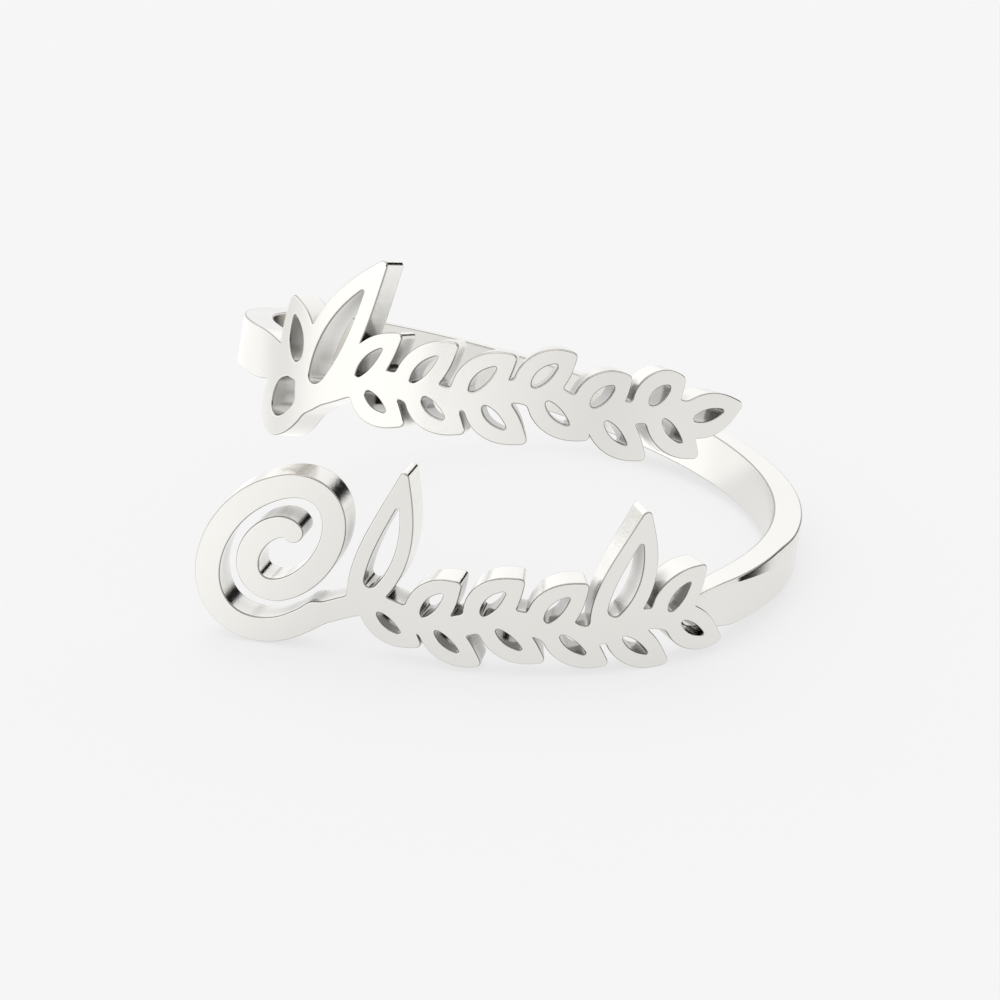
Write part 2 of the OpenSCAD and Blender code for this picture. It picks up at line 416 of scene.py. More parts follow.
@dataclass
class FlatSheet:
    """Signed distances from the outline of a flat sheet, below 0 in the metal, on a grid.

    Attributes:
        low: Lowest corner of the grid, along and up.
        high: Highest corner.
        step: Distance between grid points.
        origin: Where along the sheet a row's own drawing starts.
        foot: Height of that row's foot at a place along the row.
    """

    low: Pair
    high: Pair
    step: float = 0.03
    origin: float = 0.0
    foot: Foot = field(default=np.zeros_like)

    # How far past added metal with its fillet, and past a cut, distances are worked out
    BLEND_ROOM = 0.3
    CUT_ROOM = 0.8
    # Grid points that lie past the last place at which values are read
    BEYOND = 1.001

    def __post_init__(self) -> None:
        """Lays out the empty grid."""
        self.along = np.arange(self.low[0], self.high[0], self.step)
        self.up = np.arange(self.low[1], self.high[1], self.step)
        self.distance = np.full((len(self.up), len(self.along)), FAR)

    def _stroke(self, stroke: np.ndarray, origin: float, foot: Foot,
                room: float) -> tuple[tuple[slice, slice], np.ndarray]:
        """Distances from a stroke in the part of the grid that lies near it.

        Args:
            stroke: Rows of [along, up, width].
            origin: Where along the sheet the stroke's own drawing starts.
            foot: Height of the drawing's foot.
            room: How far past the stroke distances are wanted.

        Returns:
            The part of the grid as slices, and the distances there.
        """
        reach = stroke[:, 2].max() / 2 + room
        first, last = stroke[:, 0].min() - reach + origin, stroke[:, 0].max() + reach + origin
        columns = slice(*np.searchsorted(self.along, [first, last]))
        along = self.along[columns] - origin
        feet = foot(along)
        lowest, highest = stroke[:, 1].min() - reach + feet.min(), stroke[:, 1].max() + reach + feet.max()
        rows = slice(*np.searchsorted(self.up, [lowest, highest]))
        x = np.broadcast_to(along, (len(self.up[rows]), len(along)))
        y = self.up[rows][:, None] - feet[None, :]
        best = np.full(x.shape, FAR)
        for (ax, ay, aw), (bx, by, bw) in zip(stroke[:-1], stroke[1:]):
            dx, dy = bx - ax, by - ay
            share = np.clip(((x - ax) * dx + (y - ay) * dy) / max(dx * dx + dy * dy, TINY), 0, 1)
            away = np.hypot(x - ax - share * dx, y - ay - share * dy) - (aw + (bw - aw) * share) / 2
            np.minimum(best, away, out=best)
        return (rows, columns), best

    def add(self, stroke: np.ndarray, blend: float, in_row: bool = True) -> None:
        """Adds a stroke's metal.

        Args:
            stroke: Rows of [along, up, width].
            blend: Size of the fillet where it meets the metal that is there.
            in_row: False for a stroke that isn't drawn on the row's own foot.
        """
        origin, foot = (self.origin, self.foot) if in_row else (0.0, np.zeros_like)
        part, other = self._stroke(stroke, origin, foot, 3 * blend + self.BLEND_ROOM)
        mine = self.distance[part]
        overlap = np.clip(blend - np.abs(mine - other), 0, None) / blend
        self.distance[part] = np.minimum(mine, other) - overlap**2 * blend / 4

    def cut(self, stroke: np.ndarray) -> None:
        """Cuts a stroke's shape out of the metal."""
        part, other = self._stroke(stroke, self.origin, self.foot, self.CUT_ROOM)
        self.distance[part] = np.maximum(self.distance[part], -other)

    def sample(self, values: np.ndarray, points: np.ndarray) -> np.ndarray:
        """Reads a grid of values between its points.

        Args:
            values: The values at the grid points.
            points: Places on the sheet, along and up.

        Returns:
            The value at each place.
        """
        column = np.clip((points[:, 0] - self.low[0]) / self.step, 0, len(self.along) - self.BEYOND)
        row = np.clip((points[:, 1] - self.low[1]) / self.step, 0, len(self.up) - self.BEYOND)
        i, j = column.astype(int), row.astype(int)
        s, t = column - i, row - j
        lower = values[j, i] * (1 - s) + values[j, i + 1] * s
        upper = values[j + 1, i] * (1 - s) + values[j + 1, i + 1] * s
        return lower * (1 - t) + upper * t

    def outward(self, points: np.ndarray) -> np.ndarray:
        """Finds the directions in which the distance grows fastest.

        Args:
            points: Places on the sheet, along and up.

        Returns:
            A unit vector for each place.
        """
        rise_up, rise_along = np.gradient(self.distance, self.step)
        slope = np.column_stack([self.sample(rise_along, points), self.sample(rise_up, points)])
        return slope / np.maximum(np.linalg.norm(slope, axis=1, keepdims=True), TINY)

    def _chains(self, inside: np.ndarray) -> list[list[GridEdge]]:
        """Follows the outlines of an area from grid edge to grid edge.

        Args:
            inside: True at the grid points in the area.

        Returns:
            For each closed outline the grid edges that it crosses. Each edge is named by its
            row, its column, and 0 if it runs along or 1 if it runs up.
        """
        code = inside[:-1, :-1] * 1 + inside[:-1, 1:] * 2 + inside[1:, 1:] * 4 + inside[1:, :-1] * 8
        following: dict[GridEdge, GridEdge] = {}
        for j, i in np.argwhere((code > 0) & (code < 15)):
            side = {BOTTOM: (j, i, 0), RIGHT: (j, i + 1, 1), TOP: (j + 1, i, 0), LEFT: (j, i, 1)}
            for start, end in CROSSINGS[int(code[j, i])]:
                following[side[start]] = side[end]
        chains = []
        while following:
            first, here = following.popitem()
            chain = [first]
            while here != first:
                chain.append(here)
                here = following.pop(here)
            chains.append(chain)
        return chains

    def loops(self, level: float) -> list[np.ndarray]:
        """Finds the closed lines along which the distance has one value.

        Args:
            level: That value.

        Returns:
            The points of each line, with the metal on its left.
        """
        grid = self.distance - level
        lines = []
        for chain in self._chains(grid < 0):
            points = []
            for j, i, upright in chain:
                near = grid[j, i]
                far = grid[j + 1, i] if upright else grid[j, i + 1]
                share = near / (near - far)
                points.append((self.low[0] + self.step * (i + (0 if upright else share)),
                               self.low[1] + self.step * (j + (share if upright else 0))))
            lines.append(np.array(points))
        return lines


def steps_of(loop: np.ndarray) -> np.ndarray:
    """Distances from each point of a closed line to the next one."""
    return np.linalg.norm(np.roll(loop, -1, axis=0) - loop, axis=1)


def run_of(steps: np.ndarray) -> np.ndarray:
    """Length up to each point of a closed line, and then up to its end."""
    return np.concatenate([[0], np.cumsum(steps)])


def points_at(wanted: np.ndarray, run: np.ndarray, loop: np.ndarray) -> np.ndarray:
    """Points of a closed line at wanted places in its run."""
    closed = np.vstack([loop, loop[:1]])
    return np.column_stack([np.interp(wanted, run, closed[:, k]) for k in range(2)])


@dataclass(frozen=True)
class Spacing:
    """Spaces the points of a closed line closely in its bends and widely where it is straight.

    Attributes:
        tightest: Least distance between points.
        widest: Greatest distance between points.
        turn: Turn between points in radians, where the other two allow it.
    """

    tightest: float = 0.035
    widest: float = 0.16
    turn: float = 0.2

    # Distance between the fine points, the fewest of them, and the fewest points of a new line
    FINE = 0.02
    LEAST_FINE = 12
    LEAST_POINTS = 8
    # Numbers of fine points on each side over which the line, its turn and its spacing are taken
    LINE_OVER = 4
    TURN_OVER = 2
    SPACING_OVER = 3
    # Bend under which a line counts as straight
    STRAIGHT = 1e-6

    def _fine(self, loop: np.ndarray) -> tuple[np.ndarray, float]:
        """Smooths a closed line.

        Args:
            loop: Its points.

        Returns:
            Its new, evenly spaced points, and the distance between them.
        """
        steps = steps_of(loop)
        length = steps.sum()
        count = max(int(length / self.FINE), self.LEAST_FINE)
        fine = points_at(np.linspace(0, length, count, endpoint=False), run_of(steps), loop)
        kernel = np.hanning(2 * self.LINE_OVER + 1)
        kernel /= kernel.sum()
        padded = np.vstack([fine[-self.LINE_OVER:], fine, fine[:self.LINE_OVER]])
        smooth = [np.convolve(padded[:, k], kernel, mode="valid") for k in range(2)]
        return np.column_stack(smooth), length / count

    def evened(self, loop: np.ndarray) -> np.ndarray:
        """Gives a closed line new points.

        Args:
            loop: Its old points.

        Returns:
            The new points, spaced by how much the line bends.
        """
        fine, step = self._fine(loop)
        ahead = np.roll(fine, -self.TURN_OVER, axis=0) - fine
        behind = fine - np.roll(fine, self.TURN_OVER, axis=0)
        change = np.arctan2(ahead[:, 1], ahead[:, 0]) - np.arctan2(behind[:, 1], behind[:, 0])
        bend = np.abs(np.angle(np.exp(1j * change))) / (self.TURN_OVER * step)
        spread = np.clip(self.turn / np.maximum(bend, self.STRAIGHT), self.tightest, self.widest)
        near = np.minimum(np.roll(spread, self.SPACING_OVER), np.roll(spread, -self.SPACING_OVER))
        run = run_of(step / np.minimum(spread, near))
        count = max(int(math.ceil(run[-1])), self.LEAST_POINTS)
        return points_at(np.linspace(0, run[-1], count, endpoint=False), run, fine)


@dataclass(frozen=True)
class Outline:
    """The closed lines round a sheet's face, laid end to end.

    Attributes:
        points: Their points.
        away: Unit vectors away from the metal at the points.
        after: For each point the number of the next one, with the metal on the left.
        run: Length along its line up to each point.
        run_after: Length along its line up to the next point.
    """

    points: np.ndarray
    away: np.ndarray
    after: np.ndarray
    run: np.ndarray
    run_after: np.ndarray


@dataclass(frozen=True)
class Skin:
    """Faces of a sheet's mesh.

    Attributes:
        corners: Numbers of the points at the corners of each face.
        surfaces: Number of each face's finish.
        bench: Bench coordinates of each corner, in mm.
    """

    corners: np.ndarray
    surfaces: np.ndarray
    bench: np.ndarray


@dataclass
class SheetBuilder:
    """Gives a flat sheet its thickness and its softened edges.

    Attributes:
        sheet: The flat sheet's distances.
        metal: Its thickness.
        edge: Radius of its softened edges.
        grain: Distance between points on its faces.
        relief: Depth of the outer face under the round at points of the sheet, or None.
        lean: Factor on the slope of the relief's facet in the shading.
        creases: Lines of points on the outer face beside which the relief bends sharply.
        spacing: Spacing of the points on its outline.
    """

    sheet: FlatSheet
    metal: float
    edge: float
    grain: float = 0.3
    relief: Callable[..., np.ndarray] | None = None
    lean: float = 2.6
    creases: Sequence[np.ndarray] = ()
    spacing: Spacing = Spacing()

    # Turns in degrees of the steps round a softened edge
    TURNS = (0, 30, 60, 90)
    # How often the outline's directions are evened out
    CALMING = 3
    # A line with no more points than this is too short to show
    LEAST_LOOP = 12
    # Room kept clear beside a crease, as a share of the grain, and beside the edge, in mm
    CREASE_ROOM = 0.6
    EDGE_ROOM = 0.04
    # Half the distance over which a slope is taken, and the distance at which points join
    PROBE = 0.004
    JOINED = 1e-7

    def _calmed(self, directions: np.ndarray) -> np.ndarray:
        """Evens out the directions of a closed line's points with those of their neighbours.

        Args:
            directions: A unit vector for each point.

        Returns:
            The new unit vectors.
        """
        for _ in range(self.CALMING):
            directions = 2 * directions + np.roll(directions, 1, axis=0) + np.roll(directions, -1, axis=0)
            directions = directions / np.linalg.norm(directions, axis=1, keepdims=True)
        return directions

    def _outline(self) -> Outline:
        """Finds the lines round the face, which ends where its softened edge starts.

        Returns:
            The lines, apart from those that are too short to show.
        """
        parts = []
        start = 0
        for line in self.sheet.loops(-self.edge):
            if len(line) > self.LEAST_LOOP:
                loop = self.spacing.evened(line)
                run = run_of(steps_of(loop))
                after = start + np.roll(np.arange(len(loop)), -1)
                parts.append((loop, self._calmed(self.sheet.outward(loop)), after, run[:-1], run[1:]))
                start += len(loop)
        return Outline(*(np.concatenate(part) for part in zip(*parts)))

    def _inner_points(self) -> np.ndarray:
        """Lays a pattern of triangles on the face.

        Returns:
            Its points, which keep clear of the edges and follow the creases.
        """
        low, high = self.sheet.low, self.sheet.high
        lines = []
        for k, up in enumerate(np.arange(low[1], high[1], self.grain * math.sqrt(3) / 2)):
            along = np.arange(low[0] + (k % 2) * self.grain / 2, high[0], self.grain)
            lines.append(np.column_stack([along, np.full_like(along, up)]))
        points = np.vstack(lines)
        for line in self.creases:
            apart = np.linalg.norm(points[:, None, :] - line[None, :, :], axis=2).min(axis=1)
            points = points[apart > self.CREASE_ROOM * self.grain]
        points = np.vstack([points, *self.creases])
        return points[self.sheet.sample(self.sheet.distance, points) < -(self.edge + self.EDGE_ROOM)]

    def _sunk(self, points: np.ndarray) -> tuple[np.ndarray, np.ndarray]:
        """Finds how the outer face lies under the round.

        Args:
            points: Places on the sheet, along and up.

        Returns:
            Its depth at each place, and the unit vector in which it faces there.
        """
        if self.relief is None:
            return np.zeros(len(points)), np.tile(UP, (len(points), 1))
        slopes = []
        for move in ((self.PROBE, 0.0), (0.0, self.PROBE)):
            ahead, behind = self.relief(points + move, self.lean), self.relief(points - move, self.lean)
            slopes.append((ahead - behind) / (2 * self.PROBE))
        facing = np.column_stack([*slopes, np.ones(len(points))])
        return self.relief(points), facing / np.linalg.norm(facing, axis=1, keepdims=True)

    def _profile(self) -> list[tuple[float, float, bool]]:
        """Steps round the metal's edge, from its outer to its inner face.

        Returns:
            For each step its turn away from the face in radians, its height over the inner
            face, and True if it belongs to the outer face.
        """
        turns = [math.radians(turn) for turn in self.TURNS]
        outer = [(turn, self.metal - self.edge * (1 - math.cos(turn)), True) for turn in turns]
        return outer + [(turn, self.edge * (1 - math.cos(turn)), False) for turn in reversed(turns)]

    def _shell(self, outline: Outline, inner: np.ndarray) -> tuple[np.ndarray, np.ndarray]:
        """Lays out the points of the closed sheet.

        Args:
            outline: The lines round the face.
            inner: Points inside them.

        Returns:
            The outline's points at each step of the profile, then the inner points of the
            outer face and those of the inner face, and the directions in which all face.
        """
        spots, normals = [], []
        away = np.column_stack([outline.away, np.zeros(len(outline.points))])
        sunk, facing = self._sunk(outline.points)
        for turn, height, outer in self._profile():
            place = outline.points + outline.away * self.edge * math.sin(turn)
            spots.append(np.column_stack([place, height - sunk if outer else np.full(len(place), height)]))
            normals.append(away * math.sin(turn) + (facing if outer else DOWN) * math.cos(turn))
        sunk, facing = self._sunk(inner)
        spots += [np.column_stack([inner, rise]) for rise in (self.metal - sunk, np.zeros(len(inner)))]
        normals += [facing, np.tile(DOWN, (len(inner), 1))]
        return np.vstack(spots), np.vstack(normals)

    def _walls(self, outline: Outline) -> Skin:
        """Joins the steps of the profile all round the outline.

        Args:
            outline: The lines round the face.

        Returns:
            The faces. Their bench coordinates run along the wall and down it.
        """
        section = [(height, math.sin(turn) * self.edge) for turn, height, _ in self._profile()]
        down = run_of(np.array([math.dist(*pair) for pair in zip(section, section[1:])]))
        last, middle = len(section) - 2, len(section) // 2 - 1
        count = len(outline.points)
        here, after = np.arange(count), outline.after
        corners, surfaces, bench = [], [], []
        for ring in range(last + 1):
            # The rings inside each softened edge take the edge finish, whose dark colour is a painted dark
            # outline of shade.
            kind = {0: Surface.FACE, middle: Surface.WALL, last: Surface.FACE}.get(ring, Surface.EDGE)
            base, below = ring * count, (ring + 1) * count
            corners.append(np.column_stack([base + here, below + here, below + after, base + after]))
            surfaces.append(np.full(count, kind.value))
            top, foot = np.full(count, down[ring]), np.full(count, down[ring + 1])
            bench.append(np.column_stack([outline.run, top, outline.run, foot,
                                          outline.run_after, foot, outline.run_after, top]))
        return Skin(np.vstack(corners), np.concatenate(surfaces), np.vstack(bench).reshape(-1, 2))

    def _in_metal(self, flat: np.ndarray, triangles: np.ndarray, after: np.ndarray) -> np.ndarray:
        """Tells which triangles lie in the metal.

        Args:
            flat: Points of the face, its outline first.
            triangles: Corners of the triangles.
            after: For each point of the outline, the one that follows it with metal on the left.

        Returns:
            True for each triangle in the metal.
        """
        following = np.full(len(flat), -1)
        following[: len(after)] = after
        inside = self.sheet.sample(self.sheet.distance, flat[triangles].mean(axis=1)) < -self.edge
        starts, ends = triangles, np.roll(triangles, -1, axis=1)
        inside[(following[starts] == ends).any(axis=1)] = True
        inside[(following[ends] == starts).any(axis=1)] = False
        return inside

    def _faces(self, outline: Outline, inner: np.ndarray) -> Skin:
        """Fills the outer and the inner face with triangles.

        Args:
            outline: The lines round the face.
            inner: Points inside them.

        Returns:
            The triangles. Their bench coordinates are their places on the flat sheet.
        """
        flat = np.vstack([outline.points, inner])
        _, _, faces, origins, _, _ = delaunay_2d_cdt(
            [Vector(point) for point in flat], list(enumerate(outline.after.tolist())), [], 0, self.JOINED)
        known = [face for face in faces if all(origins[i] for i in face)]
        triangles = np.array([[origins[i][0] for i in face] for face in known])
        triangles = triangles[self._in_metal(flat, triangles, outline.after)]
        turned = triangles[:, [0, 2, 1]]
        count = len(outline.points)
        ring = (len(self._profile()) - 1) * count
        outer = np.where(triangles < count, triangles, triangles + ring)
        under = np.where(turned < count, turned + ring, turned + ring + len(inner))
        corners = np.stack([outer, under], axis=1).reshape(-1, 3)
        bench = np.stack([flat[triangles], flat[turned]], axis=1).reshape(-1, 2)
        return Skin(corners, np.full(len(corners), Surface.FACE.value), bench)

    def build(self, name: str) -> bpy.types.Mesh:
        """Makes the flat sheet's closed mesh, in metres: along, up, and out from the finger.

        Args:
            name: Name of the mesh.

        Returns:
            The mesh, with its shading directions, its finishes and its bench coordinates.
        """
        outline, inner = self._outline(), self._inner_points()
        points, normals = self._shell(outline, inner)
        skins = (self._walls(outline), self._faces(outline, inner))
        bench = np.vstack([skin.bench for skin in skins]).astype(np.float32)
        marks = np.concatenate([skin.surfaces for skin in skins]).astype(np.int32)
        polygons = [face for skin in skins for face in skin.corners.tolist()]
        mesh = bpy.data.meshes.new(name)
        mesh.from_pydata((points * MM).tolist(), [], polygons)
        mesh.uv_layers.new(name=BENCH).data.foreach_set("uv", bench.ravel())
        directions = mesh.attributes.new(FLAT_NORMAL, "FLOAT_VECTOR", "POINT")
        directions.data.foreach_set("vector", normals.astype(np.float32).ravel())
        mesh.attributes.new(SURFACE, "INT", "FACE").data.foreach_set("value", marks)
        mesh.update()
        return mesh


class Nodes:
    """A tree of nodes, with short ways to add to it."""

    def __init__(self, tree: bpy.types.NodeTree) -> None:
        """Takes up a tree."""
        self.tree = tree

    def feed(self, slot: Slot, value: object) -> None:
        """Feeds an input.

        Args:
            slot: The input.
            value: A socket to join it to, a plain value, or None to leave it as it is.
        """
        if isinstance(value, Slot):
            self.tree.links.new(value, slot)
        elif value is not None:
            slot.default_value = value

    def fill(self, node: bpy.types.Node, values: dict[str, object]) -> bpy.types.NodeOutputs:
        """Feeds a node's inputs by their labels.

        Args:
            node: The node.
            values: Sockets or plain values by label.

        Returns:
            The node's outputs.
        """
        for label, value in values.items():
            self.feed(node.inputs[label], value)
        return node.outputs

    def add(self, kind: str, *values: object, **settings: object) -> bpy.types.NodeOutputs:
        """Adds a node.

        Args:
            kind: Its type.
            values: Sockets or plain values for those of its inputs that are in use, in order.
            settings: Its properties.

        Returns:
            Its outputs.
        """
        node = self.tree.nodes.new(kind)
        for name, value in settings.items():
            setattr(node, name, value)
        for slot, value in zip([slot for slot in node.inputs if slot.enabled], values):
            self.feed(slot, value)
        return node.outputs

    def math(self, operation: str, *values: object) -> Slot:
        """Works out a number from others."""
        return self.add("ShaderNodeMath", *values, operation=operation)[0]

    def parts(self, vector: Slot) -> bpy.types.NodeOutputs:
        """Separates a vector into its X, Y and Z."""
        return self.add("ShaderNodeSeparateXYZ", vector)

    def scaled(self, vector: Slot, factor: object) -> Slot:
        """Multiplies a vector or a colour by a number."""
        return self.add("ShaderNodeVectorMath", vector, factor, operation="SCALE")[0]

    def noise(self, place: Slot, scale: object, detail: float, roughness: float) -> Slot:
        """Makes a random pattern."""
        return self.add("ShaderNodeTexNoise", place, scale, detail, roughness)["Fac"]

    def ranged(self, value: Slot, source: Pair, target: Pair, soft: bool = False) -> Slot:
        """Brings a number from one range into another, with a soft start and end if wanted."""
        kind = "SMOOTHSTEP" if soft else "LINEAR"
        return self.add("ShaderNodeMapRange", value, *source, *target, interpolation_type=kind)["Result"]


class WrapTree(Nodes):
    """Geometry Nodes that bend a flat sheet round the finger and lean it as the ring lies.

    A point of the flat sheet is at X along, Y up and Z out from the inner face. The first
    stretch, Straight Length, stays straight. The rest turns round the finger.
    """

    INPUTS = {
        "Inner Radius": "NodeSocketFloat",
        "Middle Radius": "NodeSocketFloat",
        "Straight Length": "NodeSocketFloat",
        "Start Angle": "NodeSocketFloat",
        "Axis Place": "NodeSocketVector",
        "Lean": "NodeSocketVector",
        "Seat": "NodeSocketVector",
        "Face Finish": "NodeSocketMaterial",
        "Wall Finish": "NodeSocketMaterial",
        "Edge Finish": "NodeSocketMaterial",
    }
    FINISH_INPUTS = {Surface.FACE: "Face Finish", Surface.WALL: "Wall Finish", Surface.EDGE: "Edge Finish"}

    def __init__(self) -> None:
        """Builds the tree."""
        super().__init__(bpy.data.node_groups.new("wrap round the finger", "GeometryNodeTree"))
        face = self.tree.interface
        face.new_socket("Geometry", in_out="INPUT", socket_type="NodeSocketGeometry")
        self.keys = {name: face.new_socket(name, in_out="INPUT", socket_type=kind).identifier
                     for name, kind in self.INPUTS.items()}
        face.new_socket("Geometry", in_out="OUTPUT", socket_type="NodeSocketGeometry")
        given = self.add("NodeGroupInput")
        self.add("NodeGroupOutput", self._dressed(self._wrapped(given), given))

    def _vector(self, x: object, y: object, z: object) -> Slot:
        """Makes a vector."""
        return self.add("ShaderNodeCombineXYZ", x, y, z)[0]

    def _sum(self, first: Slot, second: Slot) -> Slot:
        """Adds two vectors."""
        return self.add("ShaderNodeVectorMath", first, second, operation="ADD")[0]

    def _attribute(self, name: str, kind: str) -> Slot:
        """Reads an attribute of the sheet."""
        return self.add("GeometryNodeInputNamedAttribute", name, data_type=kind)["Attribute"]

    def _framed(self, vector: Slot, frame: Sequence[Slot]) -> Slot:
        """Turns a vector into the frame of three directions at its place on the ring."""
        along, up, out = (self.scaled(way, share) for share, way in zip(self.parts(vector), frame))
        return self._sum(self._sum(along, up), out)

    def _leaned(self, vector: Slot, lean: Slot) -> Slot:
        """Turns a vector by the ring's lean."""
        return self.add("ShaderNodeVectorRotate", vector, None, lean, rotation_type="EULER_XYZ")[0]

    def _wrapped(self, given: bpy.types.NodeOutputs) -> Slot:
        """Bends, leans and seats the sheet.

        Args:
            given: The tree's inputs.

        Returns:
            The bent sheet, which carries its bent shading directions.
        """
        x, y, z = self.parts(self.add("GeometryNodeInputPosition")[0])
        past = self.math("SUBTRACT", x, given["Straight Length"])
        turned = self.math("DIVIDE", self.math("MAXIMUM", past, 0.0), given["Middle Radius"])
        angle = self.math("ADD", turned, given["Start Angle"])
        cosine, sine = self.math("COSINE", angle), self.math("SINE", angle)
        tangent = self._vector(self.math("MULTIPLY", sine, -1.0), cosine, 0.0)
        frame = (tangent, self._vector(0.0, 0.0, 1.0), self._vector(cosine, sine, 0.0))
        where = self._vector(self.math("MINIMUM", past, 0.0), y, self.math("ADD", given["Inner Radius"], z))
        bent = self._sum(self._framed(where, frame), given["Axis Place"])
        seated = self._sum(self._leaned(bent, given["Lean"]), given["Seat"])
        facing = self._framed(self._attribute(FLAT_NORMAL, "FLOAT_VECTOR"), frame)
        carried = self.add("GeometryNodeStoreNamedAttribute", given["Geometry"], None, BENT_NORMAL,
                           self._leaned(facing, given["Lean"]), data_type="FLOAT_VECTOR", domain="POINT")[0]
        return self.add("GeometryNodeSetPosition", carried, None, seated)[0]

    def _dressed(self, shape: Slot, given: bpy.types.NodeOutputs) -> Slot:
        """Gives each face its finish.

        Args:
            shape: The bent sheet.
            given: The tree's inputs.

        Returns:
            The finished sheet.
        """
        shape = self.add("GeometryNodeRealizeInstances", shape)[0]
        marked = self._attribute(SURFACE, "INT")
        for kind, name in self.FINISH_INPUTS.items():
            same = self.add("FunctionNodeCompare", marked, kind.value, data_type="INT", operation="EQUAL")[0]
            shape = self.add("GeometryNodeSetMaterial", shape, same, given[name])[0]
        return shape

    def bend(self, flat: bpy.types.Mesh, values: dict[str, object],
             finishes: dict[Surface, bpy.types.Material]) -> bpy.types.Mesh:
        """Bends a flat sheet and returns the result as a plain mesh.

        Args:
            flat: The flat sheet's mesh.
            values: The sizes that the tree needs, by the names of its inputs.
            finishes: The metal's finishes.

        Returns:
            The bent mesh.
        """
        holder = bpy.data.objects.new(flat.name + "_flat", flat)
        bpy.context.scene.collection.objects.link(holder)
        modifier = holder.modifiers.new("wrap", "NODES")
        modifier.node_group = self.tree
        dressing = {name: finishes[kind] for kind, name in self.FINISH_INPUTS.items()}
        for name, value in (values | dressing).items():
            modifier[self.keys[name]] = value
        graph = bpy.context.evaluated_depsgraph_get()
        bent = bpy.data.meshes.new_from_object(
            holder.evaluated_get(graph), preserve_all_data_layers=True, depsgraph=graph)
        bpy.data.objects.remove(holder)
        bpy.data.meshes.remove(flat)
        return bent


@dataclass
class Row(ABC):
    """A row of pierced leaves, and what both sheets of metal have in common.

    Attributes:
        sizes: Driving sizes of the ring.
        curl: The curl that the stem grows from.
        wave: The stem's wave.
        stem: Where along the row the stem starts and ends.
        pairs: Places along the stem at which small leaves grow up and down.
    """

    sizes: RingSizes
    curl: Curl
    wave: Wave
    stem: Pair
    pairs: tuple[float, ...]

    FILLET = 0.16
    # How far ahead of a pair's place its leaves have their bases, and how long the lower ones are
    UP_AHEAD = -0.1
    DOWN_AHEAD = 0.3
    DOWN_LENGTH = 1.95

    @property
    def radii(self) -> dict[str, float]:
        """The radii that the wrap needs."""
        return {"Inner Radius": self.sizes.inner_radius * MM, "Middle Radius": self.sizes.middle_radius * MM}

    @abstractmethod
    def leaves(self) -> list[Leaf]:
        """All leaves of the row."""

    def leaf_up(self, at: float, length: float) -> Leaf:
        """A small leaf that grows up from the stem."""
        return Leaf(at + self.UP_AHEAD, self.wave.at(at), length, angle=48, belly=0.5, bow=0.12,
                    rim=self.sizes.rim_width)

    def leaves_down(self) -> list[Leaf]:
        """The small leaves that grow down from the stem."""
        return [Leaf(at + self.DOWN_AHEAD, self.wave.at(at), self.DOWN_LENGTH, angle=-38, belly=0.46,
                     bow=-0.1, rim=self.sizes.rim_width) for at in self.pairs]

    def draw(self, sheet: FlatSheet) -> FlatSheet:
        """Adds the row's metal to a sheet and cuts the openings of its leaves.

        Args:
            sheet: The sheet.

        Returns:
            The same sheet.
        """
        leaves = self.leaves()
        strokes = [self.curl.stroke(), self.wave.stroke(*self.stem, self.sizes.stem_width)]
        for stroke in strokes + [leaf.blade() for leaf in leaves]:
            sheet.add(stroke, self.FILLET)
        for leaf in leaves:
            sheet.cut(leaf.opening())
        return sheet


